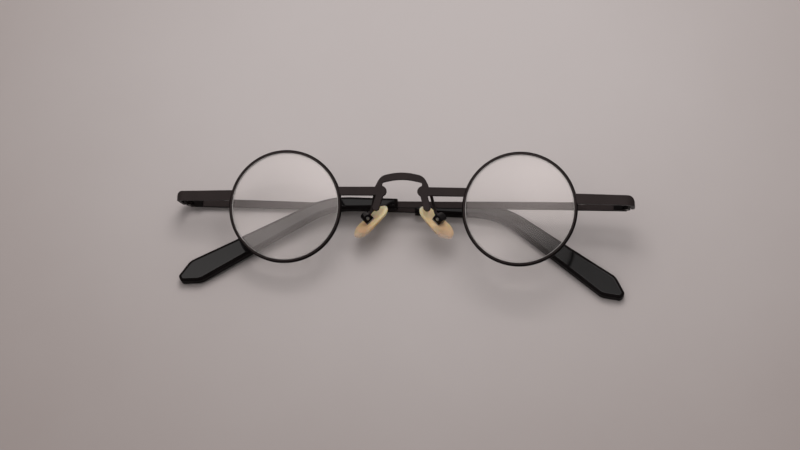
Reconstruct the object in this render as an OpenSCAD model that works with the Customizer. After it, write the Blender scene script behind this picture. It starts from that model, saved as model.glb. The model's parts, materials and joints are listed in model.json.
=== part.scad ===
// Round wire spectacles, folded and lying front up, as they rest on the right temple.
// Right and left are the wearer's. In the front's own frame x runs to the wearer's left,
// y up to the brow and z out of the front. The temples fold behind it.

/* [Lenses and rims] */
// Distance between the two lens centres
lens_spacing = 70; // [66:0.5:76]
// Diameter of the opening inside a rim
lens_opening = 32.2; // [28:0.2:35]
// Radial thickness of the rim wire
rim_wall = 0.95; // [0.8:0.05:1.4]
// Depth of the rim wire from front to back
rim_depth = 1.8; // [1.5:0.1:2.4]
// Rounding of the rim wire's outer corners
rim_round = 0.3; // [0.1:0.05:0.4]
// Depth of the groove that holds the lens
groove_depth = 0.4; // [0.25:0.05:0.5]
// Width of the groove at its mouth
groove_width = 1.1; // [0.8:0.1:1.3]
// Thickness of a lens
lens_thickness = 1.5; // [1.2:0.1:2]
// Radius of a lens's front face
lens_curve = 130; // [90:5:400]
// Gap between lens and groove
lens_gap = 0.06; // [0.03:0.01:0.1]
// Width of the split in a rim
rim_split = 0.3; // [0.2:0.05:0.5]

/* [Bridge] */
// Thickness of the plate that the bridge and the end pieces are stamped from
plate_t = 1.2; // [0.9:0.1:1.5]
// Height of the bridge bars' middle over the lens centres
bridge_y = 4.8; // [3.5:0.1:6]
// Height of the bridge bars
bridge_bar = 2.6; // [1.8:0.1:3]
// Width of the arch at its foot
arch_w = 16.2; // [14:0.2:20]
// Rise of the arch over the bars
arch_rise = 4.3; // [3.6:0.1:6]
// Width of the arch's band
arch_band = 2.15; // [1.6:0.05:2.6]
// Inward lean of the arch's sides
arch_lean = 1.65; // [0.5:0.05:2]
// Drop of the arch's shoulders under its crest
arch_drop = 1; // [0.2:0.05:1.2]
// Rounding of the arch's shoulders
arch_round = 3.4; // [1.5:0.1:3.6]
// Radius of the nubs inside the keyhole
nub_r = 1.6; // [0.8:0.1:1.8]
// Length of the legs below the bars
leg_l = 3.7; // [2:0.1:5]
// Width of the legs
leg_w = 2.1; // [1.6:0.1:2.6]
// Outward splay of the legs
leg_splay = 15; // [0:1:18]

/* [End pieces] */
// Width of the front over both end pieces
frame_w = 137; // [134:0.5:146]
// Height of the end pieces' middle over the lens centres, at the rim
endpiece_y = 3.2; // [2.6:0.1:4]
// Height of an end piece at the rim
endpiece_h = 3; // [2.4:0.05:3.4]
// Height of the outer end of an end piece
endpiece_end_h = 2.9; // [2.4:0.05:3.2]
// Drop of an end piece from the rim to its outer end
endpiece_drop = 0.45; // [0.1:0.05:0.8]
// Outer radius of the bend to the hinge
bend_r = 2.5; // [2:0.1:3.5]
// Rounding of the outer end's upper corner
end_round = 1.8; // [0.5:0.1:2]
// Rounding of the outer end's lower corner
end_round_low = 0.5; // [0.2:0.1:0.8]
// Width of a closing block
block_w = 2.4; // [2.2:0.1:3]
// Height of one closing block
block_h = 1.25; // [1.1:0.05:1.4]
// Depth of a closing block
block_d = 2; // [1.9:0.1:2.6]
// Radius of a rim screw's shank
rim_screw_r = 0.45; // [0.35:0.05:0.5]
// Radius of a rim screw's head
rim_head_r = 0.75; // [0.6:0.05:0.8]
// Height of a rim screw's head
rim_head_h = 0.45; // [0.3:0.05:0.6]

/* [Hinges] */
// Lean of the hinge axes, which tips the front towards the cheeks
panto = 8; // [4:0.5:10]
// Distance of the hinge axis behind the middle of the rims
hinge_back = 7.8; // [7:0.1:9]
// Height of the hinges over the lens centres
hinge_y = 2.5; // [2:0.1:3]
// Distance from the hinge axis to the faces that the leaves sit on
leaf_seat = 1.1; // [1.05:0.05:1.4]
// Length of a hinge leaf, from the axis
leaf_l = 4; // [3:0.1:4.5]
// Outer radius of a knuckle
knuckle_r = 0.95; // [0.85:0.05:0.95]
// Height of the stack of knuckles
knuckle_stack = 2.6; // [2.2:0.1:3]
// Gap between two knuckles
knuckle_gap = 0.06; // [0.03:0.01:0.1]
// Radius of a hinge screw's shank
pin_r = 0.45; // [0.35:0.05:0.5]
// Running clearance round a pin
pin_gap = 0.03; // [0.02:0.01:0.06]
// Radius of a hinge screw's head
head_r = 0.8; // [0.65:0.05:0.9]
// Height of a hinge screw's head
head_h = 0.4; // [0.3:0.05:0.6]
// Width of a screw's slot
slot_w = 0.22; // [0.15:0.01:0.3]
// Gap on each side of the hinge's butt faces
butt_gap = 0.12; // [0.1:0.01:0.2]

/* [Temples] */
// Length of a temple from the hinge axis along its middle line
temple_l = 139.5; // [132:0.5:148]
// Height of a temple bar at the hinge
bar_h = 2.4; // [2:0.1:2.8]
// Height of a temple bar where it enters the tip
bar_end_h = 1.9; // [1.6:0.1:2.2]
// Thickness of a temple bar
bar_t = 1; // [0.8:0.1:1.2]
// Height of the core inside a tip
core_h = 1.2; // [0.8:0.1:1.3]
// Thickness of the core inside a tip
core_t = 0.7; // [0.5:0.1:0.8]
// Distance at which the core stops short of the tip's point
core_short = 22; // [16:1:30]
// Distance from the hinge axis to the right temple's ear bend
right_bend_at = 87; // [84:0.5:90]
// Distance from the hinge axis to the left temple's ear bend
left_bend_at = 83; // [80:0.5:90]
// Angle of the right temple's ear bend
right_ear_bend = 35.5; // [28:0.5:38]
// Angle of the left temple's ear bend
left_ear_bend = 30.5; // [26:0.5:38]
// Radius of the ear bends
ear_bend_r = 24.5; // [20:0.5:32]
// Angle that the right temple stays short of lying along the front, over the left one
right_rest = 4; // [3.8:0.1:5]

/* [Temple tips] */
// Distance from the hinge axis to a tip's front end
tip_at = 68.7; // [66:0.1:72]
// Width of a tip at its front end
tip_w = 3.1; // [2.8:0.1:3.6]
// Width of a tip at the start of the ear bend
tip_bend_w = 3.8; // [3.4:0.1:4.4]
// Width of a tip at its shoulders
tip_shoulder_w = 7.4; // [5.6:0.1:8]
// Width of the blunt end of the point
tip_point_w = 2; // [1:0.1:3]
// Length of the point
tip_point_l = 5.3; // [4:0.1:8]
// Thickness of a tip
tip_t = 3; // [2.4:0.1:3]
// Width of the bevel round a tip's faces
tip_bevel_w = 0.8; // [0.5:0.05:0.9]
// Height of that bevel down a tip's flank
tip_bevel_h = 0.4; // [0.3:0.05:0.7]
// Inward cant of the tips
tip_cant = 7; // [3:0.5:9]
// Gap round the core
core_gap = 0.05; // [0.03:0.01:0.1]

/* [Nose pads] */
// Place of a pad box in the front's frame
box_x = 11.1; // [10.7:0.1:12]
// Height of a pad box over the lens centres
box_y = -2.3; // [-3:0.1:-1.5]
// Distance of a pad box behind the middle of the rims
box_back = 4.1; // [3.8:0.1:4.6]
// Splay of the pads, seen from the front
pad_splay = 45; // [36:1:47]
// Turn of the pads about their length
pad_turn = 37; // [30:0.5:40]
// Length of a pad
pad_l = 13.2; // [11:0.1:14]
// Radius of a pad's lower end
pad_low_r = 3.8; // [3:0.1:4]
// Radius of a pad's upper end
pad_top_r = 3; // [2.4:0.1:3.2]
// Thickness of a pad at its middle
pad_t = 1.8; // [1.4:0.1:2.1]
// Outer size of a pad box along the pad's length
box_l = 2.8; // [2.4:0.1:3]
// Outer size of a pad box along its screw
box_w = 2.9; // [2.4:0.1:3.1]
// Outer depth of a pad box
box_d = 2.2; // [1.9:0.1:2.4]
// Radius of a pad box's rounded back
box_round = 1.8; // [1.7:0.05:3]
// Wall of a pad box
box_wall = 0.4; // [0.3:0.05:0.4]
// Gap between a pad insert and its box
insert_gap = 0.08; // [0.06:0.01:0.1]
// Gap between a pad box's mouth and the insert's plate
mouth_gap = 0.22; // [0.2:0.01:0.3]
// Thickness of the insert's plate
insert_plate = 0.25; // [0.2:0.05:0.4]
// Radius of a pad screw's shank
pad_screw_r = 0.3; // [0.25:0.05:0.35]
// Radius of a pad screw's head
pad_head_r = 0.5; // [0.4:0.05:0.6]
// Height of a pad screw's head
pad_head_h = 0.25; // [0.2:0.05:0.4]
// Radius of the pad arms' wire
arm_r = 0.46; // [0.35:0.01:0.5]
// Height of the pad arms' roots over the lens centres
arm_y = 4.3; // [4:0.1:4.8]
// Straight length of a pad arm behind the bridge
arm_root_l = 1.4; // [1:0.1:1.8]
// Straight length of a pad arm above its box
arm_foot_l = 0.6; // [0.5:0.1:1]

/* [Hidden] */
$fn = 64;

right = -1;
left = 1;

frame_black = [0.09, 0.085, 0.085];
screw_steel = [0.45, 0.45, 0.46];
tip_black = [0.05, 0.05, 0.055];
lens_clear = [0.82, 0.86, 0.88, 0.35];
pad_cream = [0.93, 0.84, 0.58];

seam = 0.02;
past = 1;
arc_steps = 6;

lens_x = lens_spacing / 2;
rim_inner = lens_opening / 2;
rim_outer = rim_inner + rim_wall;
plate_front = rim_depth / 2;
plate_back = plate_front - plate_t;
bar_top = bridge_y + bridge_bar / 2;
bar_low = bridge_y - bridge_bar / 2;
keyhole_half = arch_w / 2 - arch_band;
crest = 0.12 * arch_w;
shoulder_x = arch_w / 2 - arch_lean;
crest_fall = arch_drop / (shoulder_x - crest);
crest_r = 0.98 * crest / tan(atan(crest_fall) / 2);
end_x = frame_w / 2;
end_y = endpiece_y - endpiece_drop;
block_x = lens_x + rim_outer + block_w / 2;
split_y = endpiece_y - endpiece_drop * (block_x - lens_x - rim_inner) / (end_x - lens_x - rim_inner);
hinge_x = end_x - plate_t - leaf_seat;
leaf_t = leaf_seat - (knuckle_r - bar_t / 2) / 2;
leaf_clear = knuckle_r + 0.4;
knuckle_h = (knuckle_stack - 2 * knuckle_gap) / 3;
bar_offset = leaf_seat + bar_t / 2;
box_place = [box_x, box_y, -box_back];
insert_eye = pad_screw_r + 0.3;
insert_web = insert_eye - 0.15;
plate_x = -box_d / 2 - mouth_gap;
pad_x = plate_x - insert_plate;

// A vector turned about the x axis
function turn_x(v, a) = [v[0], v[1] * cos(a) - v[2] * sin(a), v[1] * sin(a) + v[2] * cos(a)];

// A vector turned about the y axis
function turn_y(v, a) = [v[0] * cos(a) + v[2] * sin(a), v[1], v[2] * cos(a) - v[0] * sin(a)];

// A vector turned about the z axis
function turn_z(v, a) = [v[0] * cos(a) - v[1] * sin(a), v[0] * sin(a) + v[1] * cos(a), v[2]];

// The right hinge after the turns that lay the right tip flat
laid_hinge = turn_x(turn_y(turn_x([-hinge_x, hinge_y, -hinge_back], panto), -right_rest), tip_cant);
lift = tip_t / 2 + bar_offset * cos(tip_cant) - laid_hinge[2];
// Shift that brings the middle of the folded outline over the origin
middle = [-0.294, 2.459];

// Points of an arc
function arc(centre, r, from, to, steps) =
    [for (i = [0:steps]) let (a = from + (to - from) * i / steps) centre + r * [cos(a), sin(a)]];

// An outline with its corners rounded, each by its own radius
function rounded(points, radii, steps = arc_steps) =
    let (n = len(points))
    [for (i = [0:n - 1])
        let (
            p = points[i],
            a = points[(i + n - 1) % n] - p,
            b = points[(i + 1) % n] - p,
            ua = a / norm(a),
            ub = b / norm(b),
            half = acos(ua * ub) / 2,
            r = radii[i],
            mid = (ua + ub) / norm(ua + ub),
            centre = p + mid * r / sin(half),
            turn = 90 - half,
            side = sign(ua[0] * ub[1] - ua[1] * ub[0]),
            base = atan2(-mid[1], -mid[0])
        )
        for (k = [0:r > 0 ? steps : 0])
            r > 0
                ? let (s = base + side * turn * (1 - 2 * k / steps)) centre + r * [cos(s), sin(s)]
                : p
    ];

// The outline of a drop, its wide end low, drawn in by an inset
function drop(inset) =
    let (
        top_y = pad_l / 2 - pad_top_r,
        low_y = pad_low_r - pad_l / 2,
        lean = asin((pad_low_r - pad_top_r) / (top_y - low_y))
    )
    concat(
        arc([0, top_y], pad_top_r - inset, lean, 180 - lean, 2 * arc_steps),
        arc([0, low_y], pad_low_r - inset, 180 - lean, 360 + lean, 3 * arc_steps)
    );

function bend_at(side) = side == right ? right_bend_at : left_bend_at;
function ear_bend(side) = side == right ? right_ear_bend : left_ear_bend;
function fold(side) = side == right ? 90 - right_rest : 90;
function bend_length(side) = ear_bend_r * ear_bend(side) * PI / 180;
function bend_end(side) = bend_at(side) + bend_length(side);
function shoulder_at() = temple_l - tip_point_l;

// Slope of a temple's middle line at a length along it
function slope(s, side) = -min(max((s - bend_at(side)) / ear_bend_r * 180 / PI, 0), ear_bend(side));

// Point of a temple's middle line at a length along it
function middle_line(s, side) =
    let (
        a = -slope(s, side),
        straight = min(s, bend_at(side)),
        beyond = max(s - bend_end(side), 0)
    )
    [straight + ear_bend_r * sin(a) + beyond * cos(a), -ear_bend_r * (1 - cos(a)) - beyond * sin(a)];

// Lengths along a temple from one place to another, closer in the bend
function stations(from, to, side) = concat(
    [from],
    [for (i = [0:arc_steps]) let (s = bend_at(side) + bend_length(side) * i / arc_steps)
        if (s > from + 0.1 && s < to - 0.1) s],
    [to]
);

// Half the width of a tip at a length along the temple
function tip_half(s, side) =
    s < bend_at(side)
        ? (tip_w + (tip_bend_w - tip_w) * (s - tip_at) / (bend_at(side) - tip_at)) / 2
        : (tip_bend_w + (tip_shoulder_w - tip_bend_w)
            * pow((s - bend_at(side)) / (shoulder_at() - bend_at(side)), 1.3)) / 2;

function beside(s, side, half) =
    middle_line(s, side) + half * [-sin(slope(s, side)), cos(slope(s, side))];

// The outline of a tip, drawn in by an inset
function tip_outline(side, inset) =
    let (
        places = concat(
            stations(tip_at + inset, bend_end(side), side),
            [(bend_end(side) + shoulder_at()) / 2, shoulder_at()]
        ),
        n = len(places),
        point = [temple_l - inset * 1.5, tip_point_w / 2 - inset * 0.3]
    )
    concat(
        [for (s = places) beside(s, side, inset - tip_half(s, side))],
        [beside(point[0], side, -point[1]), beside(point[0], side, point[1])],
        [for (i = [n - 1:-1:0]) beside(places[i], side, tip_half(places[i], side) - inset)]
    );

// The outline of a strip of constant width along a temple
function strip(side, from, to, width) =
    let (
        places = stations(from, to, side),
        n = len(places)
    )
    concat(
        [for (s = places) beside(s, side, -width / 2)],
        [for (i = [n - 1:-1:0]) beside(places[i], side, width / 2)]
    );

// A closed solid through outlines of the same even number of points, each at its own height.
// Its flat ends are laid from one side of the outline across to the other.
module stack(outlines, heights) {
    n = len(outlines[0]);
    layers = len(outlines);
    top = (layers - 1) * n;
    polyhedron(
        points = [for (k = [0:layers - 1]) for (p = outlines[k]) [p[0], p[1], heights[k]]],
        faces = concat(
            [for (i = [0:n / 2 - 2]) [i, i + 1, n - 2 - i]],
            [for (i = [0:n / 2 - 2]) [i, n - 2 - i, n - 1 - i]],
            [for (k = [0:layers - 2]) for (i = [0:n - 1])
                [k * n + i, (k + 1) * n + i, (k + 1) * n + (i + 1) % n]],
            [for (k = [0:layers - 2]) for (i = [0:n - 1])
                [k * n + i, (k + 1) * n + (i + 1) % n, k * n + (i + 1) % n]],
            [for (i = [0:n / 2 - 2]) [top + n - 2 - i, top + i + 1, top + i]],
            [for (i = [0:n / 2 - 2]) [top + n - 1 - i, top + n - 2 - i, top + i]]
        )
    );
}

// Lays the front's frame down on the right tip
module lie() {
    translate([middle[0], middle[1], lift])
        rotate([tip_cant, 0, 0])
        rotate([0, -right_rest, 0])
        rotate([panto, 0, 0])
        children();
}

// Draws for one side what is modelled for the left
module on(side) {
    lie()
        if (side == right) mirror([1, 0, 0]) children();
        else children();
}

// The frame of a hinge, with y along its axis, x outwards and z to the front
module at_hinge(side) {
    on(side)
        translate([hinge_x, hinge_y, -hinge_back])
        rotate([-panto, 0, 0])
        children();
}

// The frame of a temple, as the hinge's with the temple open along -z, and folded
module at_temple(side) {
    at_hinge(side)
        rotate([0, fold(side), 0])
        children();
}

// Turns a side view of a temple, x along it and z outwards, into the temple's frame
module along_temple() {
    rotate([0, 90, 0])
        children();
}

// The frame of a pad, with y up its length, z to the front along its screw and -x to the nose
module at_pad(side) {
    on(side)
        translate(box_place)
        rotate([0, 0, pad_splay])
        rotate([0, -pad_turn, 0])
        children();
}

// A cylinder along y
module pin(r, from, to) {
    translate([0, from, 0])
        rotate([-90, 0, 0])
        cylinder(r = r, h = to - from);
}

// A box between two corners
module block(low, high) {
    translate(low)
        cube(high - low);
}

// A round rod between two points
module rod(a, b, r) {
    d = b - a;
    translate(a)
        rotate([0, acos(d[2] / norm(d)), atan2(d[1], d[0])])
        cylinder(r = r, h = norm(d));
}

// A slotted screw along y, its head's underside at the origin and its shank along -y
module screw(r, shank, head, height) {
    pin(r, -shank, 0);
    difference() {
        pin(head, 0, height);
        block([-head - past, height / 2, -slot_w / 2], [head + past, height + past, slot_w / 2]);
    }
}

// What the rim keeps clear of its neighbours
module rim_room() {
    translate([lens_x, 0, -hinge_back])
        cylinder(r = rim_outer + seam, h = 2 * hinge_back);
}

// Rims and lenses

module rim(side) {
    edge = rim_depth / 2;
    mouth = groove_width / 2;
    section = rounded(
        [
            [rim_inner, -edge], [rim_outer, -edge], [rim_outer, edge], [rim_inner, edge],
            [rim_inner, mouth], [rim_inner + groove_depth, 0], [rim_inner, -mouth]
        ],
        [0, rim_round, rim_round, 0, 0, 0, 0]
    );
    color(frame_black)
        on(side)
        difference() {
            translate([lens_x, 0, 0])
                rotate_extrude()
                polygon(section);
            block(
                [lens_x, split_y - rim_split / 2, -rim_depth],
                [lens_x + rim_outer + past, split_y + rim_split / 2, rim_depth]
            );
        }
}

module lens(side) {
    edge = lens_thickness / 2;
    shoulder = rim_inner - lens_gap;
    sink = sqrt(pow(lens_curve, 2) - pow(shoulder, 2));
    function face(r) = sqrt(pow(lens_curve, 2) - pow(r, 2)) - sink;
    steps = 2 * arc_steps;
    color(lens_clear)
        on(side)
        translate([lens_x, 0, 0])
        rotate_extrude()
        polygon(concat(
            [for (i = [0:steps]) let (r = shoulder * i / steps) [r, face(r) - edge]],
            [[shoulder, -groove_width / 2], [shoulder + groove_depth, 0], [shoulder, groove_width / 2]],
            [for (i = [steps:-1:0]) let (r = shoulder * i / steps) [r, face(r) + edge]]
        ));
}

// Bridge

module keyhole() {
    half = keyhole_half;
    low = bar_low - leg_l - 2 * leg_w;
    top = bar_top + arch_rise - arch_band;
    corner_y = top - crest_fall * (half - crest);
    polygon(rounded(
        [
            [-half, low], [half, low], [half, corner_y],
            [crest, top], [-crest, top], [-half, corner_y]
        ],
        [0, 0, nub_r / 3, crest_r, crest_r, nub_r / 3]
    ));
}

module arch() {
    half = arch_w / 2;
    top = bar_top + arch_rise;
    shoulder_y = top - arch_drop;
    polygon(rounded(
        [
            [-half, bar_low], [half, bar_low], [half, bar_top], [shoulder_x, shoulder_y],
            [crest, top], [-crest, top], [-shoulder_x, shoulder_y], [-half, bar_top]
        ],
        [0, 0, arch_round, arch_round, crest_r, crest_r, arch_round, arch_round]
    ));
}

module bridge_leg() {
    translate([keyhole_half + leg_w / 3, bar_low])
        rotate([0, 0, leg_splay]) {
            translate([-leg_w / 2, -leg_l])
                square([leg_w, leg_l + bridge_bar / 2]);
            translate([0, -leg_l])
                circle(d = leg_w);
        }
}

module bridge() {
    color(frame_black)
        lie()
        translate([0, 0, plate_back])
        linear_extrude(plate_t)
        difference() {
            union() {
                difference() {
                    union() {
                        arch();
                        translate([-lens_x, bar_low])
                            square([2 * lens_x, bridge_bar]);
                    }
                    keyhole();
                }
                for (s = [right, left])
                    mirror([s == right ? 1 : 0, 0]) {
                        translate([keyhole_half + leg_w / 8, bridge_y])
                            circle(r = nub_r);
                        bridge_leg();
                    }
            }
            for (s = [right, left])
                translate([s * lens_x, 0])
                circle(r = rim_outer + seam);
        }
}

// End pieces and the closing of the rims

module endpiece_plan() {
    bend_in = bend_r - plate_t;
    polygon(rounded(
        [
            [lens_x, plate_back], [end_x - plate_t, plate_back], [end_x - plate_t, -2 * hinge_back],
            [end_x, -2 * hinge_back], [end_x, plate_front], [lens_x, plate_front]
        ],
        [0, bend_in, 0, 0, bend_r, 0]
    ));
}

module endpiece_face() {
    polygon(rounded(
        [
            [lens_x + rim_inner, endpiece_y - endpiece_h / 2], [end_x, end_y - endpiece_end_h / 2],
            [end_x, end_y + endpiece_end_h / 2], [lens_x + rim_inner, endpiece_y + endpiece_h / 2]
        ],
        [0, end_round_low, end_round, 0]
    ));
}

module endpiece(side) {
    far = 3 * hinge_back;
    color(frame_black)
        on(side)
        difference() {
            intersection() {
                translate([0, far / 2, 0])
                    rotate([90, 0, 0])
                    linear_extrude(far)
                    endpiece_plan();
                translate([0, 0, -far])
                    linear_extrude(2 * far)
                    endpiece_face();
            }
            rim_room();
            translate([hinge_x, hinge_y, -hinge_back])
                rotate([-panto, 0, 0])
                block([0, -far, butt_gap - far], [far, far, butt_gap]);
        }
}

module closing_block(side, low, high, hole, head) {
    block_back = plate_back - block_d;
    screw_z = plate_back - block_d / 2;
    color(frame_black)
        on(side)
        difference() {
            block([lens_x, low, block_back], [block_x + block_w / 2, high, plate_back]);
            rim_room();
            translate([block_x, 0, screw_z])
                pin(hole, low - past, high + past);
            translate([block_x, 0, screw_z])
                pin(head, low - past, low + rim_head_h + seam);
        }
}

module closing_block_upper(side) {
    low = split_y + rim_split / 2;
    closing_block(side, low, low + block_h, rim_screw_r + seam, rim_screw_r + seam);
}

module closing_block_lower(side) {
    high = split_y - rim_split / 2;
    closing_block(side, high - block_h, high, rim_screw_r + pin_gap, rim_head_r + pin_gap);
}

module rim_screw(side) {
    seat = split_y - rim_split / 2 - block_h + rim_head_h;
    color(screw_steel)
        on(side)
        translate([block_x, seat, plate_back - block_d / 2])
        rotate([180, 0, 0])
        screw(rim_screw_r, 2 * block_h + rim_split - rim_head_h, rim_head_r, rim_head_h);
}

// Hinges

module leaf(direction) {
    near = min(direction * leaf_clear, direction * leaf_l);
    block(
        [leaf_seat - leaf_t, -knuckle_stack / 2, near],
        [leaf_seat, knuckle_stack / 2, near + leaf_l - leaf_clear]
    );
}

module knuckle(low, direction) {
    near = min(0, direction * (leaf_clear + seam));
    difference() {
        union() {
            pin(knuckle_r, low, low + knuckle_h);
            block(
                [leaf_seat - leaf_t, low, near],
                [knuckle_r, low + knuckle_h, near + leaf_clear + seam]
            );
        }
        pin(pin_r + pin_gap, low - past, low + knuckle_h + past);
    }
}

module hinge_front(side) {
    color(frame_black)
        at_hinge(side) {
            leaf(1);
            knuckle(-knuckle_stack / 2, 1);
            knuckle(knuckle_stack / 2 - knuckle_h, 1);
        }
}

module hinge_temple(side) {
    color(frame_black)
        at_temple(side) {
            leaf(-1);
            knuckle(-knuckle_h / 2, -1);
        }
}

module hinge_screw(side) {
    color(screw_steel)
        at_hinge(side)
        translate([0, knuckle_stack / 2, 0])
        screw(pin_r, knuckle_stack, head_r, head_h);
}

// Temples

module temple(side) {
    color(frame_black)
        at_temple(side)
        along_temple() {
            translate([0, 0, leaf_seat])
                linear_extrude(bar_t)
                polygon([
                    [butt_gap, -bar_h / 2], [tip_at - seam, -bar_end_h / 2],
                    [tip_at - seam, bar_end_h / 2], [butt_gap, bar_h / 2]
                ]);
            translate([0, 0, bar_offset])
                rotate([tip_cant, 0, 0])
                translate([0, 0, -core_t / 2])
                linear_extrude(core_t)
                polygon(strip(side, tip_at - past, temple_l - core_short, core_h));
        }
}

module temple_tip(side) {
    flank = tip_t / 2 - tip_bevel_h;
    outer = tip_outline(side, 0);
    inset = tip_outline(side, tip_bevel_w);
    color(tip_black)
        at_temple(side)
        along_temple()
        translate([0, 0, bar_offset])
        rotate([tip_cant, 0, 0])
        difference() {
            stack([inset, outer, outer, inset], [-tip_t / 2, -flank, flank, tip_t / 2]);
            translate([0, 0, -core_t / 2 - core_gap])
                linear_extrude(core_t + 2 * core_gap)
                polygon(strip(side, tip_at - past, temple_l - core_short + core_gap, core_h + 2 * core_gap));
        }
}

// Nose pads and what carries them

module pad_arm(side) {
    root = [keyhole_half + leg_w + 0.35, arm_y, plate_back];
    behind = root - [0, 0, arm_root_l];
    up = turn_z([0, 1, 0], pad_splay);
    foot = box_place + up * box_l / 2;
    ankle = foot + up * arm_foot_l;
    knee = [(behind[0] + ankle[0]) / 2, (behind[1] + ankle[1]) / 2, ankle[2] + 0.6];
    color(frame_black)
        on(side) {
            rod(root, behind, arm_r);
            rod(behind, knee, arm_r);
            rod(knee, ankle, arm_r);
            rod(ankle, foot, arm_r);
            for (p = [behind, knee, ankle])
                translate(p)
                sphere(r = arm_r + 4 * seam);
        }
}

// A block whose far end is rounded about the axis of a pad box's back
module rounded_back(low, high, r) {
    intersection() {
        block(low, high);
        translate([box_d / 2 - box_round, 0, -box_w])
            cylinder(r = r, h = 2 * box_w);
    }
}

module pad_box(side) {
    out = [box_d, box_l, box_w] / 2;
    room = [insert_eye + insert_gap, box_l / 2 - box_wall, box_w / 2 - box_wall];
    color(frame_black)
        at_pad(side)
        difference() {
            rounded_back(-out, out, box_round);
            rounded_back([-box_d, -room[1], -room[2]], room, box_round - box_wall);
            translate([0, 0, -box_w])
                cylinder(r = pad_screw_r + seam, h = 2 * box_w);
        }
}

module pad_screw(side) {
    color(screw_steel)
        at_pad(side)
        translate([0, 0, box_w / 2])
        rotate([90, 0, 0])
        screw(pad_screw_r, box_w, pad_head_r, pad_head_h);
}

module pad_insert(side) {
    half = box_w / 2 - box_wall - insert_gap;
    color(screw_steel)
        at_pad(side)
        difference() {
            union() {
                translate([0, 0, -half])
                    cylinder(r = insert_eye, h = 2 * half);
                block([plate_x, -insert_web, -half], [0, insert_web, half]);
                block([pad_x, -box_l / 2, -box_w / 2], [plate_x, box_l / 2, box_w / 2]);
            }
            translate([0, 0, -box_w])
                cylinder(r = pad_screw_r + pin_gap, h = 2 * box_w);
        }
}

module nose_pad(side) {
    color(pad_cream)
        at_pad(side)
        translate([pad_x, 0, 0])
        rotate([0, -90, 0])
        stack(
            [drop(0.45), drop(0), drop(0.25), drop(1), drop(1.8)],
            [0, 0.3 * pad_t, 0.6 * pad_t, 0.9 * pad_t, pad_t]
        );
}

rim(right);  // rim_right
rim(left);  // rim_left
lens(right);  // lens_right
lens(left);  // lens_left
bridge();
endpiece(right);  // endpiece_right
endpiece(left);  // endpiece_left
closing_block_upper(right);  // closing_block_upper_right
closing_block_upper(left);  // closing_block_upper_left
closing_block_lower(right);  // closing_block_lower_right
closing_block_lower(left);  // closing_block_lower_left
rim_screw(right);  // rim_screw_right
rim_screw(left);  // rim_screw_left
hinge_front(right);  // hinge_front_right
hinge_front(left);  // hinge_front_left
hinge_temple(right);  // hinge_temple_right
hinge_temple(left);  // hinge_temple_left
hinge_screw(right);  // hinge_screw_right
hinge_screw(left);  // hinge_screw_left
temple(right);  // temple_right
temple(left);  // temple_left
temple_tip(right);  // temple_tip_right
temple_tip(left);  // temple_tip_left
pad_arm(right);  // pad_arm_right
pad_arm(left);  // pad_arm_left
pad_box(right);  // pad_box_right
pad_box(left);  // pad_box_left
pad_insert(right);  // pad_insert_right
pad_insert(left);  // pad_insert_left
pad_screw(right);  // pad_screw_right
pad_screw(left);  // pad_screw_left
nose_pad(right);  // nose_pad_right
nose_pad(left);  // nose_pad_left
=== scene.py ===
import json
import math

import bmesh
import bpy
from mathutils import Matrix, Vector


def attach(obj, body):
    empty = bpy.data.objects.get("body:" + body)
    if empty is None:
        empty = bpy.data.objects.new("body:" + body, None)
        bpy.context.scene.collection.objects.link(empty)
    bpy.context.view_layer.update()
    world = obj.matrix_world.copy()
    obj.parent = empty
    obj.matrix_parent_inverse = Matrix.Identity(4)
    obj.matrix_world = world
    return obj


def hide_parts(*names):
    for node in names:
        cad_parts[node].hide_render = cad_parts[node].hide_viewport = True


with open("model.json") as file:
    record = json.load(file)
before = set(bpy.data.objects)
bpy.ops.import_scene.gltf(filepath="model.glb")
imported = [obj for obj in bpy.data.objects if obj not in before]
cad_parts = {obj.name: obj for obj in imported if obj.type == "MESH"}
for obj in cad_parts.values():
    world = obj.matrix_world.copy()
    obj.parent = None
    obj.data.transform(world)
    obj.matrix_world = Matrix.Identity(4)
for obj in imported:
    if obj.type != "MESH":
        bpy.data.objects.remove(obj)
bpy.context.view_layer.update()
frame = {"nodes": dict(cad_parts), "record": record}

nodes = frame["nodes"]
behaviour = frame["record"]["behaviour"]
bodyOfNode = {node: body for body, members in behaviour["bodies"].items() for node in members}
hingeAt = {joint["child"]: Vector(joint["pos_m"]) for joint in behaviour["joints"]}
scene = bpy.context.scene
scene.view_settings.view_transform = "Standard"
sides = ("right", "left")
mm = 0.001
print("frame loaded,", len(nodes), "nodes")

# how the folded glasses lie on the table, in mm and degrees, the same as in the solids
lay = {
    "tipCant": 7,
    "rightRest": 4,
    "panto": 8,
    "hinge": (66.2, 2.5, -7.8),
    "barOffset": 1.6,
    "padBox": (11.1, -2.3, -4.1),
    "padSplay": 45,
    "padTurn": 37,
}


def turn(angle, axis):
    return Matrix.Rotation(math.radians(angle), 4, axis)


def shift(*place):
    return Matrix.Translation(Vector(place))


layTurn = turn(lay["tipCant"], "X") @ turn(-lay["rightRest"], "Y") @ turn(lay["panto"], "X")
rightHinge = Vector((-lay["hinge"][0], lay["hinge"][1], lay["hinge"][2])) * mm
layPlace = Matrix.Translation(hingeAt["temple_right"] - layTurn @ rightHinge) @ layTurn


# the front as it is drawn, in mm, with the right side mirrored from the left
def frontPlace(side):
    mirror = Matrix.Diagonal((-1, 1, 1, 1)) if side == "right" else Matrix.Identity(4)
    return layPlace @ Matrix.Scale(mm, 4) @ mirror


# x along the temple, y up its height, z outwards
def templePlace(side):
    fold = 90 - lay["rightRest"] if side == "right" else 90
    atHinge = frontPlace(side) @ shift(*lay["hinge"]) @ turn(-lay["panto"], "X")
    return atHinge @ turn(fold + 90, "Y")


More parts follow.
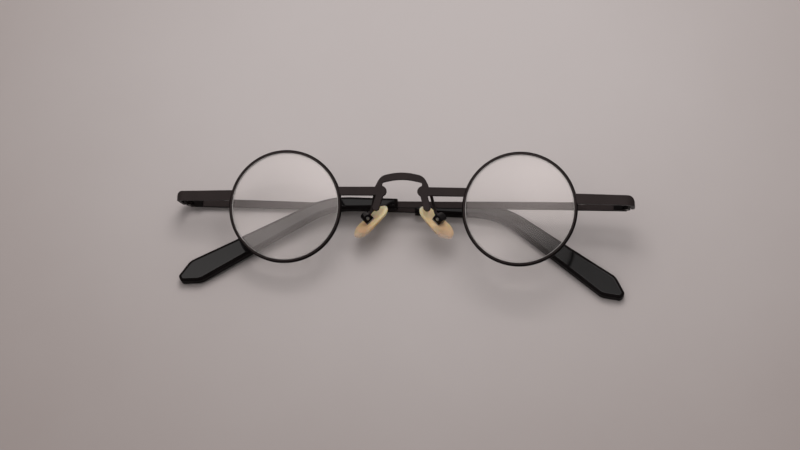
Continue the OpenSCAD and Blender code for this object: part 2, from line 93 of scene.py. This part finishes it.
# y up the pad, z to the front along its screw, -x to the nose
def padPlace(side):
    atBox = frontPlace(side) @ shift(*lay["padBox"])
    return atBox @ turn(lay["padSplay"], "Z") @ turn(-lay["padTurn"], "Y")


# fine grain and broad smudges, shared by every finish
grainNoise = {
    "scale": {"Fine": 3000, "Broad": 120},
    "detail": {"Fine": 3, "Broad": 5},
    "roughness": 0.6,
    "range": (0.3, 0.7),  # where most of the noise lies
}


def makeGrainGroup():
    group = bpy.data.node_groups.new("surfaceGrain", "ShaderNodeTree")
    for name, scale in grainNoise["scale"].items():
        socket = group.interface.new_socket(
            name=name + " Scale", in_out="INPUT", socket_type="NodeSocketFloat",
        )
        socket.default_value = scale
    for name in grainNoise["scale"]:
        group.interface.new_socket(name=name, in_out="OUTPUT", socket_type="NodeSocketFloat")
    given = group.nodes.new("NodeGroupInput")
    result = group.nodes.new("NodeGroupOutput")
    coords = group.nodes.new("ShaderNodeTexCoord")
    for name, detail in grainNoise["detail"].items():
        noise = group.nodes.new("ShaderNodeTexNoise")
        noise.inputs["Detail"].default_value = detail
        noise.inputs["Roughness"].default_value = grainNoise["roughness"]
        group.links.new(coords.outputs["Object"], noise.inputs["Vector"])
        group.links.new(given.outputs[name + " Scale"], noise.inputs["Scale"])
        group.links.new(noise.outputs["Fac"], result.inputs[name])
    return group


grainGroup = makeGrainGroup()


def newFinish(name, sockets):
    finish = bpy.data.materials.new(name)
    finish.use_nodes = True
    shader = finish.node_tree.nodes["Principled BSDF"]
    for socket, value in sockets.items():
        shader.inputs[socket].default_value = value
    return finish, finish.node_tree, shader


def addGrain(tree, fineScale, broadScale):
    grain = tree.nodes.new("ShaderNodeGroup")
    grain.node_tree = grainGroup
    grain.inputs["Fine Scale"].default_value = fineScale
    grain.inputs["Broad Scale"].default_value = broadScale
    return grain


def mapValue(tree, source, low, high, given=grainNoise["range"]):
    spread = tree.nodes.new("ShaderNodeMapRange")
    spread.inputs["From Min"].default_value = given[0]
    spread.inputs["From Max"].default_value = given[1]
    spread.inputs["To Min"].default_value = low
    spread.inputs["To Max"].default_value = high
    tree.links.new(source, spread.inputs["Value"])
    return spread.outputs["Result"]


def rampColour(tree, source, places, colours):
    ramp = tree.nodes.new("ShaderNodeValToRGB")
    elements = ramp.color_ramp.elements
    while len(elements) < len(places):
        elements.new(0.5)
    for element, place, colour in zip(elements, places, colours):
        element.position = place
        element.color = (*colour, 1)
    tree.links.new(source, ramp.inputs["Fac"])
    return ramp.outputs["Color"]


def addBump(tree, source, strength, distance):
    bump = tree.nodes.new("ShaderNodeBump")
    bump.inputs["Strength"].default_value = strength
    bump.inputs["Distance"].default_value = distance
    tree.links.new(source, bump.inputs["Height"])
    return bump.outputs["Normal"]


def addTogether(tree, first, second):
    total = tree.nodes.new("ShaderNodeMath")
    tree.links.new(first, total.inputs[0])
    tree.links.new(second, total.inputs[1])
    return total.outputs["Value"]


flatScale = 1000  # large enough that z adds nothing to a spot's distance


# a soft spot that is strong within its core and gone at its reach
def addSpot(tree, place, spot):
    centre = tree.nodes.new("ShaderNodeMapping")
    centre.vector_type = "TEXTURE"
    centre.inputs["Location"].default_value = (*spot["at"], 0)
    centre.inputs["Scale"].default_value = (*spot["reach"], flatScale)
    away = tree.nodes.new("ShaderNodeVectorMath")
    away.operation = "LENGTH"
    fade = tree.nodes.new("ShaderNodeMapRange")
    fade.interpolation_type = "SMOOTHSTEP"
    fade.inputs["From Min"].default_value = spot["core"]
    fade.inputs["To Min"].default_value = spot["strength"]
    fade.inputs["To Max"].default_value = 0
    tree.links.new(place, centre.inputs["Vector"])
    tree.links.new(centre.outputs["Vector"], away.inputs[0])
    tree.links.new(away.outputs["Value"], fade.inputs["Value"])
    return fade.outputs["Result"]


# finishes that only their grain varies: its fine and broad scale, the darkest and palest colour
# and the smoothest and dullest roughness
plainFinishes = {
    "frame": {
        "name": "satinBlackPaint", "sockets": {"Specular IOR Level": 0.05}, "grain": (5200, 160),
        "colours": ((0.0234, 0.0182, 0.0179), (0.0310, 0.0242, 0.0238)), "colouredBy": "Broad",
        "roughness": (0.34, 0.46), "roughenedBy": "Broad", "bump": (0.12, 0.00002),
    },
    "tip": {
        "name": "polishedBlackAcetate", "sockets": {"IOR": 1.54}, "grain": (900, 70),
        "colours": ((0.0030, 0.0028, 0.0029), (0.0050, 0.0046, 0.0046)), "colouredBy": "Broad",
        "roughness": (0.06, 0.13), "roughenedBy": "Broad",
    },
    # for the hinges and for the sides of rims, bars and tips: duller than their faces, and darker
    # as painted shade
    "mattPaintedShade": {
        "name": "mattBlackPaintedShade", "sockets": {"Specular IOR Level": 0.03}, "grain": (2400, 150),
        "colours": ((0.0032, 0.0024, 0.0024), (0.0060, 0.0046, 0.0046)), "colouredBy": "Broad",
        "roughness": (0.28, 0.4), "roughenedBy": "Fine",
    },
    "gloss": {
        "name": "glossBlackPlating", "sockets": {"Specular IOR Level": 0.12}, "grain": (4200, 260),
        "colours": ((0.0020, 0.0016, 0.0017), (0.0042, 0.0034, 0.0036)), "colouredBy": "Broad",
        "roughness": (0.12, 0.22), "roughenedBy": "Broad",
    },
    # the ground edge of a lens, a pale matt line beside the rim
    "lensEdge": {
        "name": "groundLensEdge", "sockets": {"IOR": 1.5, "Transmission Weight": 0.35},
        "grain": (5000, 300),
        "colours": ((0.46, 0.44, 0.43), (0.62, 0.60, 0.59)), "colouredBy": "Fine",
        "roughness": (0.4, 0.55), "roughenedBy": "Broad",
    },
    "screw": {
        "name": "screwSteel", "sockets": {"Metallic": 1}, "grain": (6000, 500),
        "colours": ((0.26, 0.25, 0.24), (0.38, 0.37, 0.36)), "colouredBy": "Broad",
        "roughness": (0.22, 0.38), "roughenedBy": "Fine",
    },
}


def makePlainFinish(look):
    finish, tree, shader = newFinish(look["name"], look["sockets"])
    grain = addGrain(tree, *look["grain"])
    coloured = grain.outputs[look["colouredBy"]]
    roughened = grain.outputs[look["roughenedBy"]]
    colour = rampColour(tree, coloured, grainNoise["range"], look["colours"])
    tree.links.new(colour, shader.inputs["Base Color"])
    tree.links.new(mapValue(tree, roughened, *look["roughness"]), shader.inputs["Roughness"])
    if "bump" in look:
        tree.links.new(addBump(tree, grain.outputs["Fine"], *look["bump"]), shader.inputs["Normal"])
    return finish


lensGlass = {
    "sockets": {
        "IOR": 1.5, "Roughness": 0, "Transmission Weight": 1, "Metallic": 0,
        "Specular Tint": (1, 0.92, 0.90, 1),
    },
    "grain": (700, 60),
    "colours": ((0.99, 0.985, 0.98), (1, 0.998, 0.995)),
    "shadow": (0.98, 0.978, 0.976, 1),
}


# clear glass that casts only a faint shadow
def makeLensGlass():
    finish, tree, shader = newFinish("clearLens", lensGlass["sockets"])
    grain = addGrain(tree, *lensGlass["grain"])
    colour = rampColour(tree, grain.outputs["Broad"], grainNoise["range"], lensGlass["colours"])
    tree.links.new(colour, shader.inputs["Base Color"])
    output = tree.nodes["Material Output"]
    clear = tree.nodes.new("ShaderNodeBsdfTransparent")
    clear.inputs["Color"].default_value = lensGlass["shadow"]
    path = tree.nodes.new("ShaderNodeLightPath")
    choose = tree.nodes.new("ShaderNodeMixShader")
    tree.links.new(path.outputs["Is Shadow Ray"], choose.inputs["Fac"])
    tree.links.new(shader.outputs["BSDF"], choose.inputs[1])
    tree.links.new(clear.outputs["BSDF"], choose.inputs[2])
    tree.links.new(choose.outputs["Shader"], output.inputs["Surface"])
    return finish


padSilicone = {
    "sockets": {
        "Subsurface Weight": 0.7, "Subsurface Radius": (0.0030, 0.0019, 0.0009),
        "Subsurface Scale": 1, "Transmission Weight": 0.1, "IOR": 1.42,
    },
    "grain": (2500, 240),
    "fadeY": (-0.005, 0.005),
    "mottle": 0.07,
    "places": (0, 0.45, 0.9),
    "colours": ((0.80, 0.54, 0.33), (0.86, 0.62, 0.36), (0.84, 0.72, 0.47)),
    "clearest": 0.14,
    "clearing": (0.02, 0.58),
    "roughness": (0.27, 0.32),
    "bump": (0.03, 0.00003),
}


# cream above, warmer and clearer at the lower ends
def makePadSilicone():
    finish, tree, shader = newFinish("creamSilicone", padSilicone["sockets"])
    grain = addGrain(tree, *padSilicone["grain"])
    coords = tree.nodes.new("ShaderNodeTexCoord")
    parts = tree.nodes.new("ShaderNodeSeparateXYZ")
    tree.links.new(coords.outputs["Object"], parts.inputs["Vector"])
    height = mapValue(tree, parts.outputs["Y"], 0, 1, padSilicone["fadeY"])
    mottle = mapValue(tree, grain.outputs["Broad"], -padSilicone["mottle"], padSilicone["mottle"])
    fade = addTogether(tree, height, mottle)
    results = {
        "Base Color": rampColour(tree, fade, padSilicone["places"], padSilicone["colours"]),
        "Alpha": mapValue(tree, fade, padSilicone["clearest"], 1, padSilicone["clearing"]),
        "Roughness": mapValue(tree, grain.outputs["Broad"], *padSilicone["roughness"]),
        "Normal": addBump(tree, grain.outputs["Fine"], *padSilicone["bump"]),
    }
    for socket, result in results.items():
        tree.links.new(result, shader.inputs[socket])
    return finish


finishes = {kind: makePlainFinish(look) for kind, look in plainFinishes.items()}
finishes["lens"] = makeLensGlass()
finishes["pad"] = makePadSilicone()
print("finishes made:", ", ".join(finishes))


# flat faces keep their own normal beside small rounded edges when even is set
def finishPiece(bm, node, slot, sharpAngle, even=True):
    mesh = bpy.data.meshes.new(node + "_dressed")
    bm.to_mesh(mesh)
    bm.free()
    mesh.shade_smooth()
    mesh.set_sharp_from_angle(angle=math.radians(sharpAngle))
    piece = bpy.data.objects.new(node + "_dressed", mesh)
    scene.collection.objects.link(piece)
    mesh.materials.append(finishes[slot])
    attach(piece, bodyOfNode[node])
    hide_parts(node)
    if even:
        piece.modifiers.new("evenNormals", "WEIGHTED_NORMAL").keep_sharp = True
    return piece


def sharpEdges(bm, angle, most=180):
    low, high = math.radians(angle), math.radians(most)
    shared = [e for e in bm.edges if len(e.link_faces) == 2]
    return [e for e in shared if low < e.calc_face_angle(0) <= high]


def roundEdges(bm, edges, width, segments):
    bmesh.ops.bevel(
        bm, geom=edges, offset=width, offset_type="OFFSET", segments=segments,
        profile=0.5, affect="EDGES", clamp_overlap=True, material=-1,
    )


def roundCorners(bm, verts, width, segments):
    bmesh.ops.bevel(
        bm, geom=verts, offset=width, offset_type="OFFSET", segments=segments,
        profile=0.5, affect="VERTICES", material=-1,
    )


# a closed outline of points as one face
def outlineFace(bm, points):
    return bm.faces.new([bm.verts.new(point) for point in points])


def raiseFace(bm, face, height):
    raised = bmesh.ops.extrude_face_region(bm, geom=[face])["geom"]
    verts = [v for v in raised if isinstance(v, bmesh.types.BMVert)]
    bmesh.ops.translate(bm, verts=verts, vec=(0, 0, height))
    return next(f for f in raised if isinstance(f, bmesh.types.BMFace))


def insetFace(bm, face, thickness, depth):
    bmesh.ops.inset_region(
        bm, faces=[face], thickness=thickness, depth=depth, use_even_offset=True,
    )


def placeAll(bm, place):
    bmesh.ops.transform(bm, matrix=place, verts=bm.verts)
    bmesh.ops.recalc_face_normals(bm, faces=bm.faces)


# sides that look away from the broad faces, for a second finish that is darker as painted shade
def markPaintedShadeSides(bm, up, steepest):
    for face in bm.faces:
        face.material_index = int(abs(face.normal.dot(up)) < steepest)


zAxis = Vector((0, 0, 1))
mergeDistance = 0.0005  # for pieces drawn in mm

# rims, each spun from one side of its split to the other
rim = {
    "centre": 35,
    "inner": 16.1,
    "outer": 17.05,
    "depth": 1.8,
    "round": 0.78,
    "lipRound": 0.1,
    "roundSteps": 6,
    "steepest": 0.85,
    "grooveDepth": 0.4,
    "grooveWidth": 1.1,
    "splitAt": 3.144,
    "split": 0.12,
    "steps": 168,
    "sharpAngle": 40,
}


def makeRim(side):
    half = rim["depth"] / 2
    mouth = rim["grooveWidth"] / 2
    section = (
        (rim["inner"], -half), (rim["outer"], -half), (rim["outer"], half), (rim["inner"], half),
        (rim["inner"], mouth), (rim["inner"] + rim["grooveDepth"], 0), (rim["inner"], -mouth),
    )
    bm = bmesh.new()
    outlineFace(bm, [(r, 0, z) for r, z in section])
    innerBack, outerBack, outerFront, innerFront = list(bm.verts)[:4]
    roundCorners(bm, [outerBack, outerFront], rim["round"], rim["roundSteps"])
    roundCorners(bm, [innerBack, innerFront], rim["lipRound"], rim["roundSteps"])
    middle = (rim["inner"] + rim["outer"]) / 2
    gap = rim["split"] / middle
    start = math.asin(rim["splitAt"] / middle) + gap / 2
    bmesh.ops.rotate(bm, verts=bm.verts, matrix=Matrix.Rotation(start, 3, "Z"))
    geom = list(bm.verts) + list(bm.edges) + list(bm.faces)
    bmesh.ops.spin(
        bm, geom=geom, cent=(0, 0, 0), axis=zAxis, angle=2 * math.pi - gap,
        steps=rim["steps"], use_duplicate=False,
    )
    bmesh.ops.recalc_face_normals(bm, faces=bm.faces)
    # the rim's sides take the matt finish, darker as painted shade
    markPaintedShadeSides(bm, zAxis, rim["steepest"])
    placeAll(bm, frontPlace(side) @ shift(rim["centre"], 0, 0))
    piece = finishPiece(bm, "rim_" + side, "frame", rim["sharpAngle"])
    piece.data.materials.append(finishes["mattPaintedShade"])


# lenses, spun from half a section
lens = {
    "thick": 1.5,
    "curve": 130,
    "gap": 0.06,
    "edgeBevel": 0.14,
    "rings": 14,
    "steps": 144,
    "sharpAngle": 25,
}


def makeLens(side):
    edge = lens["thick"] / 2
    shoulder = rim["inner"] - lens["gap"]
    mouth = rim["grooveWidth"] / 2
    polished = shoulder - lens["edgeBevel"]
    sink = math.sqrt(lens["curve"] ** 2 - shoulder ** 2)
    radii = [polished * i / lens["rings"] for i in range(lens["rings"] + 1)]
    bow = [(r, math.sqrt(lens["curve"] ** 2 - r ** 2) - sink) for r in radii]
    back = [(r, z - edge) for r, z in bow]
    front = [(shoulder, edge - lens["edgeBevel"] / 2)] + [(r, z + edge) for r, z in reversed(bow)]
    rimEdge = [(shoulder, -mouth), (shoulder + rim["grooveDepth"], 0), (shoulder, mouth)]
    bm = bmesh.new()
    line = [bm.verts.new((r, 0, z)) for r, z in back + rimEdge + front]
    edges = [bm.edges.new(pair) for pair in zip(line, line[1:])]
    bmesh.ops.spin(
        bm, geom=line + edges, cent=(0, 0, 0), axis=zAxis, angle=2 * math.pi,
        steps=lens["steps"], use_merge=True, use_duplicate=False,
    )
    bmesh.ops.remove_doubles(bm, verts=bm.verts, dist=mergeDistance)
    for face in bm.faces:
        face.material_index = int(polished < face.calc_center_median().xy.length < shoulder)
    placeAll(bm, frontPlace(side) @ shift(rim["centre"], 0, 0))
    piece = finishPiece(bm, "lens_" + side, "lens", lens["sharpAngle"], even=False)
    piece.data.materials.append(finishes["lensEdge"])


for side in sides:
    makeRim(side)
    makeLens(side)
print("rims and lenses made")

# temple tips, drawn along the temple's middle line as flat outlines, raised and chamfered
tip = {
    "start": 68.7,
    "length": 139.5,
    "bendAt": {"right": 87, "left": 83},
    "bendAngle": {"right": 35.5, "left": 30.5},
    "bendRadius": 24.5,
    "startWidth": 3.1,
    "bendWidth": 3.8,
    "shoulderWidth": 7.4,
    "pointWidth": 2,
    "pointLength": 5.3,
    "flare": 1.3,
    "thick": 3,
    "bevelWidth": 0.8,
    "bevelHeight": 0.4,
    "edgeAngle": 20,
    "edgeRound": 0.14,
    "edgeSteps": 3,
    "polished": 0.985,  # faces turned further from the flat than this get the matt finish with painted shade
    "level": 0.9,  # faces at least this flat get the chamfer
    "cornerRound": 1.1,
    "pointRound": 0.6,
    "cornerSteps": 4,
    "stations": 44,
    "sharpAngle": 35,
}


def middleLine(along, side):
    bendAt = tip["bendAt"][side]
    radius = tip["bendRadius"]
    full = math.radians(tip["bendAngle"][side])
    angle = min(max((along - bendAt) / radius, 0), full)
    beyond = max(along - bendAt - radius * full, 0)
    x = min(along, bendAt) + radius * math.sin(angle) + beyond * math.cos(angle)
    y = -radius * (1 - math.cos(angle)) - beyond * math.sin(angle)
    return Vector((x, y, 0)), Vector((math.sin(angle), math.cos(angle), 0))


def tipHalf(along, side):
    bendAt = tip["bendAt"][side]
    if along < bendAt:
        share = (along - tip["start"]) / (bendAt - tip["start"])
        return (tip["startWidth"] + (tip["bendWidth"] - tip["startWidth"]) * share) / 2
    share = (along - bendAt) / (tip["length"] - tip["pointLength"] - bendAt)
    widening = (tip["shoulderWidth"] - tip["bendWidth"]) * share ** tip["flare"]
    return (tip["bendWidth"] + widening) / 2


def makeTip(side):
    shoulderAt = tip["length"] - tip["pointLength"]
    step = (shoulderAt - tip["start"]) / tip["stations"]
    places = [tip["start"] + step * i for i in range(tip["stations"] + 1)]
    rows = [(middleLine(s, side), tipHalf(s, side)) for s in places]
    rows.append((middleLine(tip["length"], side), tip["pointWidth"] / 2))
    lower = [at - up * half for (at, up), half in rows]
    upper = [at + up * half for (at, up), half in rows]
    bm = bmesh.new()
    outlineFace(bm, lower + upper[::-1])
    count = len(rows)
    bm.verts.ensure_lookup_table()
    shoulders = [bm.verts[count - 2], bm.verts[count + 1]]
    point = [bm.verts[count - 1], bm.verts[count]]
    roundCorners(bm, shoulders, tip["cornerRound"], tip["cornerSteps"])
    roundCorners(bm, point, tip["pointRound"], tip["cornerSteps"])
    flank = tip["thick"] / 2 - tip["bevelHeight"]
    bmesh.ops.translate(bm, verts=bm.verts, vec=(0, 0, -flank))
    raiseFace(bm, next(iter(bm.faces)), 2 * flank)
    bmesh.ops.recalc_face_normals(bm, faces=bm.faces)
    for face in [f for f in bm.faces if abs(f.normal.z) > tip["level"]]:
        insetFace(bm, face, tip["bevelWidth"], tip["bevelHeight"])
    roundEdges(bm, sharpEdges(bm, tip["edgeAngle"]), tip["edgeRound"], tip["edgeSteps"])
    # the chamfers and flanks of the tip take the matt finish, darker as painted shade
    markPaintedShadeSides(bm, zAxis, tip["polished"])
    cant = shift(0, 0, lay["barOffset"]) @ turn(lay["tipCant"], "X")
    placeAll(bm, templePlace(side) @ cant)
    piece = finishPiece(bm, "temple_tip_" + side, "tip", tip["sharpAngle"])
    piece.data.materials.append(finishes["mattPaintedShade"])


for side in sides:
    makeTip(side)
print("temple tips made")

# nose pads, drop outlines raised in steps to a soft dome, the heights as shares of the thickness
pad = {
    "length": 13.2,
    "lowRadius": 3.8,
    "topRadius": 3,
    "thick": 1.8,
    "seat": -1.57,
    "arcSteps": 15,
    "band": 0.1,
    "backInset": (0.5, 0.3),
    "domeInsets": ((0.3, 0.3), (0.8, 0.28), (0.9, 0.1)),
    "backCrease": 0.6,
    "softening": 2,
    "sharpAngle": 60,
}


def padOutline():
    topY = pad["length"] / 2 - pad["topRadius"]
    lowY = pad["lowRadius"] - pad["length"] / 2
    lean = math.asin((pad["lowRadius"] - pad["topRadius"]) / (topY - lowY))
    arcs = (
        (topY, pad["topRadius"], lean, math.pi - lean),
        (lowY, pad["lowRadius"], math.pi - lean, 2 * math.pi + lean),
    )
    points = []
    for y, radius, first, last in arcs:
        for i in range(pad["arcSteps"] + 1):
            angle = first + (last - first) * i / pad["arcSteps"]
            points.append((radius * math.cos(angle), y + radius * math.sin(angle), 0))
    return points


def makePad(side):
    bm = bmesh.new()
    crease = bm.edges.layers.float.new("crease_edge")
    front = raiseFace(bm, outlineFace(bm, padOutline()), pad["band"] * pad["thick"])
    bmesh.ops.recalc_face_normals(bm, faces=bm.faces)
    back = min(bm.faces, key=lambda f: f.calc_center_median().z)
    insetFace(bm, back, pad["backInset"][0], pad["backInset"][1] * pad["thick"])
    for edge in back.edges:
        edge[crease] = pad["backCrease"]
    for thickness, rise in pad["domeInsets"]:
        insetFace(bm, front, thickness, rise * pad["thick"])
    lowest = min(v.co.z for v in bm.verts)
    bmesh.ops.translate(bm, verts=bm.verts, vec=(0, 0, -lowest))
    placeAll(bm, padPlace(side) @ shift(pad["seat"], 0, 0) @ turn(-90, "Y"))
    piece = finishPiece(bm, "nose_pad_" + side, "pad", pad["sharpAngle"], even=False)
    smooth = piece.modifiers.new("softDome", "SUBSURF")
    smooth.levels = pad["softening"]
    smooth.render_levels = pad["softening"]


for side in sides:
    makePad(side)
print("nose pads made")

# pad arms, bent wire flared where it is soldered to the bridge
arm = {
    "radius": 0.46,
    "rootX": 8.4,
    "rootY": 4.3,
    "rootZ": -0.3,
    "rootLength": 1.4,
    "rootStraight": 0.3,
    "kneeRise": 0.6,
    "footLength": 0.6,
    "footStraight": 0.4,
    "boxHalf": 1.4,
    "flare": 1.5,
    "roundness": 6,
    "bendOrder": 3,
    "bendSteps": 8,
    "sharpAngle": 50,
}


def makeArm(side):
    root = Vector((arm["rootX"], arm["rootY"], arm["rootZ"]))
    behind = root - Vector((0, 0, arm["rootLength"]))
    up = turn(lay["padSplay"], "Z") @ Vector((0, 1, 0))
    foot = Vector(lay["padBox"]) + up * arm["boxHalf"]
    ankle = foot + up * arm["footLength"]
    knee = (behind + ankle) / 2
    knee.z = ankle.z + arm["kneeRise"]
    points = (
        root, root.lerp(behind, arm["rootStraight"]), behind, knee,
        ankle, foot.lerp(ankle, arm["footStraight"]), foot,
    )
    curve = bpy.data.curves.new("padArm", "CURVE")
    curve.dimensions = "3D"
    curve.bevel_depth = arm["radius"]
    curve.bevel_resolution = arm["roundness"]
    curve.use_fill_caps = True
    spline = curve.splines.new("NURBS")
    spline.points.add(len(points) - 1)
    for point, place in zip(spline.points, points):
        point.co = (*place, 1)
    spline.points[0].radius = arm["flare"]
    spline.order_u = arm["bendOrder"]
    spline.resolution_u = arm["bendSteps"]
    spline.use_endpoint_u = True
    wire = bpy.data.objects.new("padArm", curve)
    scene.collection.objects.link(wire)
    bent = wire.evaluated_get(bpy.context.evaluated_depsgraph_get())
    solid = bpy.data.meshes.new_from_object(bent)
    bm = bmesh.new()
    bm.from_mesh(solid)
    bpy.data.objects.remove(wire)
    bpy.data.meshes.remove(solid)
    bmesh.ops.remove_doubles(bm, verts=bm.verts, dist=mergeDistance)
    placeAll(bm, frontPlace(side))
    finishPiece(bm, "pad_arm_" + side, "frame", arm["sharpAngle"], even=False)


for side in sides:
    makeArm(side)
print("pad arms made")

# stamped and turned metal, the solids with their edges broken, widths in mm
brokenEdges = {
    "bridge": 0.16,
    "endpiece": 0.18,
    "temple": 0.16,
    "closing_block_upper": 0.1,
    "closing_block_lower": 0.1,
    "hinge_front": 0.08,
    "hinge_temple": 0.08,
    "pad_box": 0.3,
    "pad_insert": 0.05,
    "rim_screw": 0.05,
    "hinge_screw": 0.05,
    "pad_screw": 0.04,
}
stamped = {
    "onRim": ("bridge", "endpiece", "closing"),
    "rimOverlap": 0.3,
    "rimMargin": 0.05,
    "bars": ("bridge", "endpiece", "temple"),
    "steepest": 0.5,
    "bent": "endpiece",
    "bendAngles": (7, 16),
    "bendRound": 0.22,
    "mergeDistance": 1e-7,  # in metres, as the solids are
    "flatAngle": 0.5,
    "edgeAngle": 35,
    "edgeSteps": 2,
    "sharpAngle": 40,
}


# ends that meet a rim run a little way into its rounded side
def seatOnRim(bm):
    place = frontPlace("left")
    for vert in bm.verts:
        at = place.inverted() @ vert.co
        away = Vector((at.x - math.copysign(rim["centre"], at.x), at.y, 0))
        if away.length < rim["outer"] + stamped["rimMargin"]:
            vert.co = place @ (at - away.normalized() * stamped["rimOverlap"])


def breakEdges(node, width):
    bm = bmesh.new()
    bm.from_mesh(nodes[node].data)
    bmesh.ops.remove_doubles(bm, verts=bm.verts, dist=stamped["mergeDistance"])
    flatAngle = math.radians(stamped["flatAngle"])
    bmesh.ops.dissolve_limit(bm, angle_limit=flatAngle, verts=bm.verts, edges=bm.edges)
    broadest = max(bm.faces, key=lambda f: f.calc_area()).normal.copy()
    if node.startswith(stamped["onRim"]):
        seatOnRim(bm)
    if node.startswith(stamped["bent"]):
        bends = sharpEdges(bm, *stamped["bendAngles"])
        roundEdges(bm, bends, stamped["bendRound"] * mm, stamped["edgeSteps"])
    roundEdges(bm, sharpEdges(bm, stamped["edgeAngle"]), width * mm, stamped["edgeSteps"])
    bar = node.startswith(stamped["bars"])
    if bar:
        # the sides of the bars take the matt finish, darker as painted shade
        markPaintedShadeSides(bm, broadest, stamped["steepest"])
    slot = "screw" if "screw" in node or "insert" in node else "frame"
    piece = finishPiece(bm, node, slot, stamped["sharpAngle"])
    if bar:
        piece.data.materials.append(finishes["mattPaintedShade"])
    elif node.startswith("pad_box"):
        piece.data.materials[0] = finishes["gloss"]
    # hinge leaves take the matt finish, darker as painted shade under the end pieces
    elif node.startswith("hinge") and slot == "frame":
        piece.data.materials[0] = finishes["mattPaintedShade"]


for kind, width in brokenEdges.items():
    for node in [kind] if kind == "bridge" else [kind + "_" + side for side in sides]:
        breakEdges(node, width)
print("stamped metal dressed")

# table, light and camera, in metres, degrees and watts
table = {
    "size": 3,
    "cells": 8,
    "sockets": {"Roughness": 0.85, "Specular IOR Level": 0.2},
    "grain": (1400, 14),
    # the paper runs from dim far out to pale within a painted pool of light around the glasses
    "dim": (0.320, 0.283, 0.272),
    "pale": (0.440, 0.413, 0.410),
    "paintedLightPool": {"at": (0.005, 0.06), "reach": (0.215, 0.205), "core": 0.15, "strength": 1},
    "mottle": 0.06,
}
softbox = {"place": (0.01, 0.16, 0.31), "aim": (0, 0, 0), "size": (0.2, 0.18), "power": 0.6}
studio = {"colour": (1, 0.955, 0.94), "frontWall": 0.1, "backWall": 0.58}
# soft panels overhead, placed and sized by x and y of the direction to them
panels = {
    "near": {"at": (0.09, -0.01), "reach": (0.6, 0.34), "core": 0.2, "strength": 1.3},
    "wide": {"at": (-0.37, 0.03), "reach": (0.65, 0.48), "core": 0.4, "strength": 0.8},
    "low": {"at": (-0.38, -0.3), "reach": (0.3, 0.25), "core": 0.2, "strength": 0.9},
    "back": {"at": (0.22, 0.6), "reach": (0.24, 0.26), "core": 0.2, "strength": 2.4},
}
photoCamera = {
    "place": (0.040058, -0.232287, 0.556456),
    "turn": (23.0649, 2.9224, 3.1966),
    "lens": 90,
    "sensor": 36,
    "nearest": 0.01,
}


# plain paper, with a painted pool of light around the glasses
def makeTable():
    bm = bmesh.new()
    cells = table["cells"]
    bmesh.ops.create_grid(bm, x_segments=cells, y_segments=cells, size=table["size"] / 2)
    mesh = bpy.data.meshes.new("tableTop")
    bm.to_mesh(mesh)
    bm.free()
    finish, tree, shader = newFinish("tablePaper", table["sockets"])
    grain = addGrain(tree, *table["grain"])
    coords = tree.nodes.new("ShaderNodeTexCoord")
    # the painted pool of light, with mottle from the grain
    paintedLightPool = addSpot(tree, coords.outputs["Object"], table["paintedLightPool"])
    mottle = mapValue(tree, grain.outputs["Broad"], -table["mottle"], table["mottle"])
    shade = addTogether(tree, paintedLightPool, mottle)
    colour = rampColour(tree, shade, (0, 1), (table["dim"], table["pale"]))
    tree.links.new(colour, shader.inputs["Base Color"])
    mesh.materials.append(finish)
    top = bpy.data.objects.new("tableTop", mesh)
    scene.collection.objects.link(top)


def makeSoftbox():
    light = bpy.data.lights.new("softbox", "AREA")
    light.shape = "RECTANGLE"
    light.size, light.size_y = softbox["size"]
    light.energy = softbox["power"]
    light.color = studio["colour"]
    lamp = bpy.data.objects.new("softbox", light)
    lamp.location = softbox["place"]
    aim = Vector(softbox["aim"]) - Vector(softbox["place"])
    lamp.rotation_euler = aim.to_track_quat("-Z", "Y").to_euler()
    lamp.visible_glossy = False
    lamp.visible_transmission = False
    scene.collection.objects.link(lamp)


# walls that pale towards the back and soft panels overhead, which the lenses and tips mirror
def makeWorld():
    world = bpy.data.worlds.new("studio")
    scene.world = world
    world.use_nodes = True
    tree = world.node_tree
    light = tree.nodes["Background"]
    light.inputs["Color"].default_value = (*studio["colour"], 1)
    coords = tree.nodes.new("ShaderNodeTexCoord")
    parts = tree.nodes.new("ShaderNodeSeparateXYZ")
    around = coords.outputs["Generated"]
    tree.links.new(around, parts.inputs["Vector"])
    level = mapValue(tree, parts.outputs["Y"], studio["frontWall"], studio["backWall"], (-1, 1))
    for panel in panels.values():
        level = addTogether(tree, level, addSpot(tree, around, panel))
    tree.links.new(level, light.inputs["Strength"])


def makeCamera():
    lensData = bpy.data.cameras.new("photoCamera")
    lensData.lens = photoCamera["lens"]
    lensData.sensor_width = photoCamera["sensor"]
    lensData.clip_start = photoCamera["nearest"]
    camera = bpy.data.objects.new("photoCamera", lensData)
    camera.location = photoCamera["place"]
    camera.rotation_euler = [math.radians(angle) for angle in photoCamera["turn"]]
    scene.collection.objects.link(camera)
    scene.camera = camera


makeTable()
makeSoftbox()
makeWorld()
makeCamera()
print("table, light and camera set")
